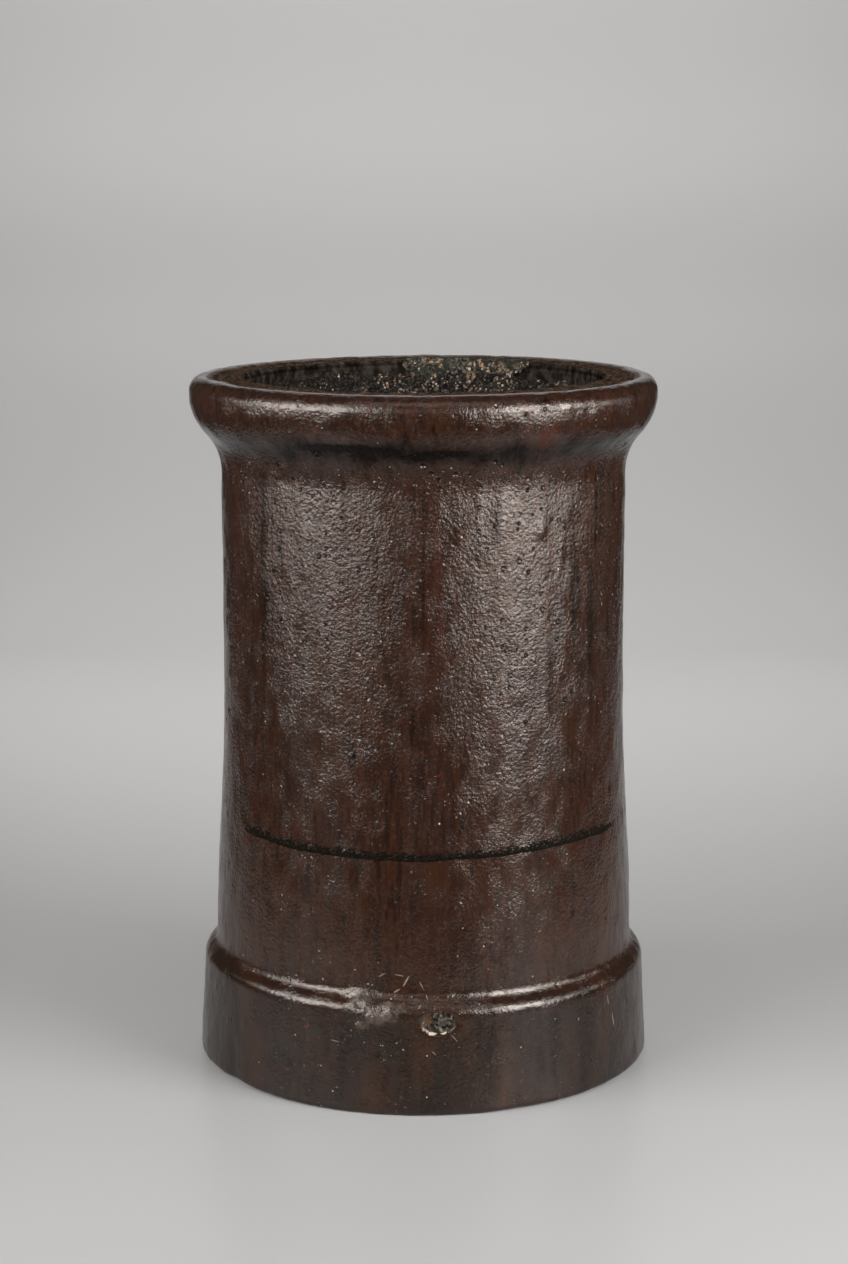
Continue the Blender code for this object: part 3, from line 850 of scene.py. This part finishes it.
# roof bitumen and soot in a hard black line. It drinks the light
tideLook = {"ground": "#0a0805", "pale": "#1d1a14", "roughness": 0.6, "specular": 0.04}
bitumen, tree, shader, place = readFrom("matRoofBitumen")
dusty = clouding(tree, place, 1.5, detail=4.0, low=0.5, high=0.7)
finishLook(tree, shader, layered(tree, tideLook["ground"], [(dusty, tideLook["pale"])]),
           summed(tree, [tideLook["roughness"], (dusty, 0.3)]), summed(tree, [0.0, (dusty, 0.3)]))
shader.inputs["Specular IOR Level"].default_value = tideLook["specular"]

# lime mortar: sand and lime pushed against the flue by hand, then smoked dark. Dull green-grey, and sandy
# to the eye
mortarLook = {"ground": "#2b2c27", "dark": "#11100e", "sand": "#a3866d", "pale": "#605d53", "sandSize": 1.3,
              "roughness": 0.72, "specular": 0.05}
mortar, tree, shader, place = readFrom("matSmokedLimeMortar")
blotch = clouding(tree, place, 9.0, detail=5.0, low=0.42, high=0.62)
tone = clouding(tree, place, 2.0, detail=4.0, low=0.4, high=0.64, shift=3.3)
sandPatch = clouding(tree, place, 6.0, low=0.52, high=0.62, shift=5.2)
sandTop = overlap(tree, sandPatch, clouding(tree, place, 1.3, low=0.45, high=0.6))
sand = addNode(tree, "ShaderNodeTexNoise",
               {"Vector": place, "Scale": 1000 / mortarLook["sandSize"], "Detail": 3.0})
colour = layered(tree, mortarLook["ground"], [
    (blotch, mortarLook["dark"]), (overlap(tree, tone, blotch), mortarLook["pale"]),
    (sandTop, mortarLook["sand"])])
finishLook(tree, shader, colour, summed(tree, [mortarLook["roughness"], (tone, 0.15)]),
           summed(tree, [0.0, (sand, 1.0), (tone, 0.6)]))
shader.inputs["Specular IOR Level"].default_value = mortarLook["specular"]

# soot crust: tar and ash baked on by years of smoke. Black, crumbling, a faint shine only on the tar
crustLook = {"soot": "#0b0908", "tar": "#1a1512", "ash": "#4a433b", "roughness": 0.6, "specular": 0.12}
crust, tree, shader, place = readFrom("matSootCrust")
tarry = clouding(tree, place, 5.0, detail=4.0, low=0.42, high=0.6)
ashy = clouding(tree, place, 1.6, detail=4.0, low=0.5, high=0.68, shift=2.2)
crumbs = addNode(tree, "ShaderNodeTexNoise", {"Vector": place, "Scale": 1000 / 1.5, "Detail": 4.0})
colour = layered(tree, crustLook["soot"], [(tarry, crustLook["tar"]), (ashy, crustLook["ash"])])
finishLook(tree, shader, colour, summed(tree, [crustLook["roughness"], (ashy, 0.3)]),
           summed(tree, [0.0, (crumbs, 1.6)]))
shader.inputs["Specular IOR Level"].default_value = crustLook["specular"]

# burnt grit: sand and slag crystals caught in the crust, each its own tone from tar black to sugar white
grains, tree, shader, place = readFrom("matBurntGrit")
tone = addNode(tree, "ShaderNodeAttribute", attribute_name="tone").outputs["Fac"]
speck = clouding(tree, place, 0.7, detail=3.0, low=0.4, high=0.65)
grainLook = {"tar": "#1b1613", "film": "#2a2420",
             "tones": [(0.28, "#453f3a"), (0.5, "#6b645b"), (0.66, "#9a7a61"), (0.84, "#ccb9a4")]}
grainLayers = []
for low, hexColour in grainLook["tones"]:
    inTone = addNode(tree, "ShaderNodeMapRange", {"Value": tone, "From Min": low, "From Max": low + 0.06})
    grainLayers.append((inTone, hexColour))
grainLayers.append((overlap(tree, speck, speck), grainLook["film"]))
colour = layered(tree, grainLook["tar"], grainLayers)
finishLook(tree, shader, colour, summed(tree, [0.45, (speck, 0.35)]), summed(tree, [0.0, (speck, 0.25)]))
print("materials: glaze, bare clay, bitumen, mortar, soot crust and grit")

# the bare clay takes the faces that lie wholly inside the glaze's edge
wallMesh.materials.append(bareStoneware)
corners = np.empty(len(wallMesh.loops), dtype=np.int32)
wallMesh.loops.foreach_get("vertex_index", corners)
starts = np.empty(len(wallMesh.polygons), dtype=np.int32)
wallMesh.polygons.foreach_get("loop_start", starts)
isBare = np.minimum.reduceat(bareRim[corners], starts) > 3.0
wallMesh.polygons.foreach_set("material_index", isBare.astype(np.int32))
addPiece("potGlazed", wallMesh, glaze)

# the tide line itself: a thin deposit that lies on the glaze
surface = BVHTree.FromPolygons([v.co for v in wallMesh.vertices],
                               [p.vertices[:] for p in wallMesh.polygons])


def tideThickness(turnTo, up):
    flank = 0.5 - 0.5 * math.cos(math.radians(2 * (turnTo - 6)))
    along = Vector((math.sin(math.radians(turnTo)), math.cos(math.radians(turnTo)), up / 70))
    ragged = noise.noise(along * 22) + 0.8 * noise.noise(along * 55 + Vector((2, 2, 2)))
    top = tideShape["tall"] + tideShape["tallerAtFlanks"] * flank + tideShape["ragged"] * ragged
    crumbs = (noise.noise(along * 95 + Vector((3, 3, 3))) - 0.035 * up) * min(max(up - 0.2, 0) / 1.5, 1.0)
    away = min(max((abs(turnTo - 1.5) - tideShape["fadeFrom"]) / tideShape["fadeOver"], 0.0), 1.0)
    scraps = away * (0.75 - 1.6 * max(noise.noise(along * 4.1 + Vector((8, 8, 8))) - 0.1, 0))
    body = min((up + 0.4 + 0.5 * ragged) / 0.5, (top - up) / 2.2, 1.0)
    return tideShape["thick"] * body + crumbs - scraps


def tideStrip():
    shape, front, back, depth = tideShape, [], [], []
    for i in range(shape["columns"]):
        turnTo = 360 * i / shape["columns"] - 180
        outward = Vector((math.sin(math.radians(turnTo)), -math.cos(math.radians(turnTo)), 0))
        for j in range(shape["rows"]):
            up = shape["step"] * (j - 1)
            start = outward * 0.3 + Vector((0, 0, (tideAt(turnTo) + up) * mm))
            spot = surface.ray_cast(start, -outward)[0]
            depth.append(tideThickness(turnTo, up))
            front.append(spot + outward * (max(depth[-1], -0.5) * mm))
            back.append(spot - outward * (shape["bed"] * mm))
    return closedSheet("tideMark", front, back, depth, shape["columns"], shape["rows"], True, 0.02)


# inside the mouth: sheets of crust and mortar that lie on the wall and dip under it at their torn edges
def mouthPoint(turnTo, down, proud):
    # a point `down` mm along the wall from the rim's top, over the mouth's edge, `proud` mm off the wall
    turnTo = math.radians(turnTo)
    inner = pot["bodyRadius"] - pot["wall"]
    bend = pot["mouthFillet"]
    flat, arc = 9.0, bend * math.pi / 2              # the sheet starts this far out on the rim's top
    if down < flat:
        radius, z = inner + bend + flat - down, pot["height"] - 1.0 + proud
    elif down < flat + arc:
        bent = (down - flat) / bend
        radius = inner + bend - (bend + proud) * math.sin(bent)
        z = pot["height"] - 1.0 - bend + (bend + proud) * math.cos(bent)
    else:
        radius, z = inner - proud, pot["height"] - 1.0 - bend - (down - flat - arc)
    return Vector((radius * math.sin(turnTo), -radius * math.cos(turnTo), min(z, pot["height"]))) * mm


def wallSheet(name, turns, downs, thickness, bedDepth=1.6, least=-0.5):
    # thickness(angle, down) in mm, below zero where there is no sheet; a closed body with a front and a back
    full = abs(turns[-1] - turns[0] - 360) < 1e-6
    columns = len(turns) - 1 if full else len(turns)
    depth = [thickness(t, d) for t in turns[:columns] for d in downs]
    places = [(t, d) for t in turns[:columns] for d in downs]
    front = [mouthPoint(t, d, proud) for (t, d), proud in zip(places, depth)]
    back = [mouthPoint(t, d, -bedDepth) for t, d in places]
    return closedSheet(name, front, back, depth, columns, len(downs), full, least)


def closedSheet(name, front, back, depth, columns, rows, full, least):
    # a closed skin over a grid of points, left open where the depth falls below `least`
    faces, edges = [], {}
    for i in range(columns if full else columns - 1):
        here, after = i * rows, (i + 1) % columns * rows
        for j in range(rows - 1):
            face = [here + j, here + j + 1, after + j + 1, after + j]
            if max(depth[v] for v in face) > least:
                faces.append(face)
                edges.update(dict.fromkeys(zip(face, face[1:] + face[:1])))
    shift = len(front)
    skin = list(faces)
    faces += [[v + shift for v in reversed(face)] for face in skin]
    faces += [[b, a, a + shift, b + shift] for a, b in edges if (b, a) not in edges]
    mesh = newMesh(name, front + back, faces)
    build = bmesh.new()
    build.from_mesh(mesh)
    bmesh.ops.delete(build, geom=[v for v in build.verts if not v.link_faces], context="VERTS")
    bmesh.ops.recalc_face_normals(build, faces=build.faces)
    build.to_mesh(mesh)
    build.free()
    return mesh


def bumpy(turnTo, down, size, seed, octaves=3):
    # the unevenness of a sheet in the mouth, `size` mm from swell to swell
    reach = pot["bodyRadius"] - pot["wall"]
    turnTo = math.radians(turnTo)
    spotHere = Vector((reach * math.sin(turnTo), reach * math.cos(turnTo), down)) / size
    return noise.fractal(spotHere + Vector((seed, seed, seed)), 0.7, 2.0, octaves)


# the crust hangs in a ragged ring a little below the mouth, thickest at the back
crustShape = {"turns": 400, "top": 13.0, "bottom": 52.0, "rows": 26, "thick": 1.9, "back": 1.1, "bumps": 6.5}


def crustThickness(turnTo, down):
    shape = crustShape
    backShare = 0.5 - 0.5 * math.cos(math.radians(turnTo))
    top = shape["top"] + 9.5 + 5.0 * bumpy(turnTo, 0, 17, 4.0, 2) - 2.5 * backShare
    edge = min((down - top) / 2.5, (shape["bottom"] - 3 - down) / 8, 1.0)
    body = shape["thick"] + shape["back"] * backShare + 1.7 * bumpy(turnTo, down, shape["bumps"], 8.0, 4)
    return body * edge - 1.4 * (1 - edge) if edge > -1 else -2.0


downs = [crustShape["top"] + (crustShape["bottom"] - crustShape["top"]) * i / crustShape["rows"]
         for i in range(crustShape["rows"] + 1)]
turns = [360 * i / crustShape["turns"] for i in range(crustShape["turns"] + 1)]
crustMesh = wallSheet("flueCrust", turns, downs, crustThickness)
addPiece("flueCrust", crustMesh, crust)
tideMesh = tideStrip()
addPiece("tideMark", tideMesh, bitumen)
print("tide line:", len(tideMesh.polygons), "faces")

# a smear of mortar over the mouth's edge at the back, cut off by a slanting ridge at its right
mortarShape = {"left": 188.5, "right": 138.0, "step": 0.55, "bottom": 46.0, "rows": 44,
               "thick": 1.7, "bumps": 8.0}


def mortarThickness(turnTo, down):
    shape = mortarShape
    fromLeft = (186.5 + 2.0 * bumpy(1.0, down, 6, 2.0, 2) - turnTo) * 2.06
    slant = 142.0 + 1.05 * max(down - 15, 0)         # where the ridge crosses, further left further down
    fromRight = (turnTo - slant) * 2.06 + 2.5 * bumpy(turnTo, down, 9, 6.0, 2)
    fromTop = down - 4.5 - 3.0 * bumpy(turnTo, 3, 9, 12.0, 2)
    fromBottom = shape["bottom"] - 6 - down + 5 * bumpy(turnTo, 40, 12, 3.0, 2)
    edge = min(fromLeft / 2.5, fromRight / 2.0, fromTop / 2.5, fromBottom / 6, 1.0)
    ridge = 1.6 * math.exp(-((fromRight - 2.5) / 2.4) ** 2) * (down > 12)
    lumps = bumpy(turnTo, down, shape["bumps"], 1.0, 4) + 0.5 * bumpy(turnTo, down, 2.6, 3.0, 2)
    body = shape["thick"] + ridge + lumps
    return body * edge - 1.4 * (1 - edge) if edge > -1 else -2.0


count = round((mortarShape["left"] - mortarShape["right"]) / mortarShape["step"])
turns = [mortarShape["right"] + mortarShape["step"] * i for i in range(count + 1)]
downs = [mortarShape["bottom"] * i / mortarShape["rows"] for i in range(mortarShape["rows"] + 1)]
mortarMesh = wallSheet("flueMortar", turns, downs, mortarThickness, bedDepth=2.0)
addPiece("flueMortar", mortarMesh, mortar)
print("flue: crust and mortar,", len(crustMesh.polygons) + len(mortarMesh.polygons), "faces")

# grit scattered over them, in Geometry Nodes: each grain is one small lump of 20 faces
gritLook = {"Density": 42.0, "Smallest": 0.6, "Largest": 2.3, "Unevenness": 0.5, "Seed": 7}   # per cm2, mm
gritTree, gritInputs = startTree("scatteredGrit", gritLook, {"Grain": "NodeSocketMaterial"})
given = addNode(gritTree, "NodeGroupInput").outputs
likely = addNode(gritTree, "GeometryNodeInputNamedAttribute", {"Name": "grit"}, data_type="FLOAT")
perMetre = addNode(gritTree, "ShaderNodeMath", {0: given["Density"], 1: 10000.0}, operation="MULTIPLY")
density = addNode(gritTree, "ShaderNodeMath", {0: likely, 1: perMetre}, operation="MULTIPLY")
seeds = addNode(gritTree, "GeometryNodeDistributePointsOnFaces",
                {"Mesh": given["Geometry"], "Density": density, "Seed": given["Seed"]},
                distribute_method="RANDOM")
ball = addNode(gritTree, "GeometryNodeMeshIcoSphere", {"Radius": 1.0, "Subdivisions": 1})
where = addNode(gritTree, "GeometryNodeInputPosition")
dented = addNode(gritTree, "ShaderNodeTexNoise", {"Vector": where, "Scale": 1.7, "Detail": 0.0})
dentedAway = addNode(gritTree, "ShaderNodeVectorMath", {0: dented.outputs["Color"], 1: (0.5, 0.5, 0.5)},
                     operation="SUBTRACT")
dentSize = addNode(gritTree, "ShaderNodeVectorMath", {0: dentedAway, "Scale": given["Unevenness"]},
                   operation="SCALE")
lump = addNode(gritTree, "GeometryNodeSetPosition", {"Geometry": ball, "Offset": dentSize})
smallest = addNode(gritTree, "ShaderNodeMath", {0: given["Smallest"], 1: mm / 2}, operation="MULTIPLY")
largest = addNode(gritTree, "ShaderNodeMath", {0: given["Largest"], 1: mm / 2}, operation="MULTIPLY")
size = addNode(gritTree, "FunctionNodeRandomValue", {"Min": smallest, "Max": largest, "Seed": 11},
               data_type="FLOAT")
tilt = addNode(gritTree, "FunctionNodeRandomValue", {"Min": (0, 0, 0), "Max": (6.28, 6.28, 6.28), "Seed": 12},
               data_type="FLOAT_VECTOR")
placed = addNode(gritTree, "GeometryNodeInstanceOnPoints",
                 {"Points": seeds, "Instance": lump, "Rotation": tilt, "Scale": size})
tone = addNode(gritTree, "FunctionNodeRandomValue", {"Min": 0.0, "Max": 1.0, "Seed": 13}, data_type="FLOAT")
toned = addNode(gritTree, "GeometryNodeStoreNamedAttribute",
                {"Geometry": placed, "Name": "tone", "Value": tone}, data_type="FLOAT", domain="INSTANCE")
real = addNode(gritTree, "GeometryNodeRealizeInstances", {"Geometry": toned})
painted = addNode(gritTree, "GeometryNodeSetMaterial", {"Geometry": real, "Material": given["Grain"]})
addNode(gritTree, "NodeGroupOutput", {"Geometry": painted})


def gritBed(mesh, likelihood):
    # a copy of a sheet's own faces that says where grit has stuck
    bed = mesh.copy()
    values = []
    for v in bed.vertices:
        turnTo = math.degrees(math.atan2(v.co.x, -v.co.y)) % 360
        inward = math.hypot(v.co.x, v.co.y) / mm < pot["bodyRadius"] - pot["wall"] - 0.2
        values.append(likelihood(turnTo, v.co.z / mm) if inward and v.co.z / mm < 455.5 else 0.0)
    bed.attributes.new("grit", "FLOAT", "POINT").data.foreach_set("value", values)
    return bed


def crustGrit(turnTo, z):
    backShare = 0.5 - 0.5 * math.cos(math.radians(turnTo))
    clump = max(0.0, bumpy(turnTo, z, 11, 15.0, 2) * 2.2 + 0.35)
    return min(clump, 1.0) * (0.35 + 0.65 * backShare) * (z > 428)


def mortarGrit(turnTo, z):
    clump = max(0.0, bumpy(turnTo, z, 8, 19.0, 2) * 2.4 - 0.25)
    alongRidge = math.exp(-((turnTo - 144 - 1.05 * max(456 - z - 4, 0)) / 2.2) ** 2)
    return min(clump * 0.6 + alongRidge * 0.9, 1.0) * (z > 430)


for name, sheet, likelihood in (("flueGrit", crustMesh, crustGrit), ("mortarGrit", mortarMesh, mortarGrit)):
    settings = {gritInputs[key]: value for key, value in gritLook.items()}
    settings[gritInputs["Grain"]] = grains
    gritMesh = meshFromTree(name, gritTree, gritBed(sheet, likelihood), settings)
    addPiece(name, gritMesh, grains)
    print(name + ":", len(gritMesh.polygons), "faces")

low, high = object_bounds()
print("size:", [round(v, 4) for v in low], [round(v, 4) for v in high])
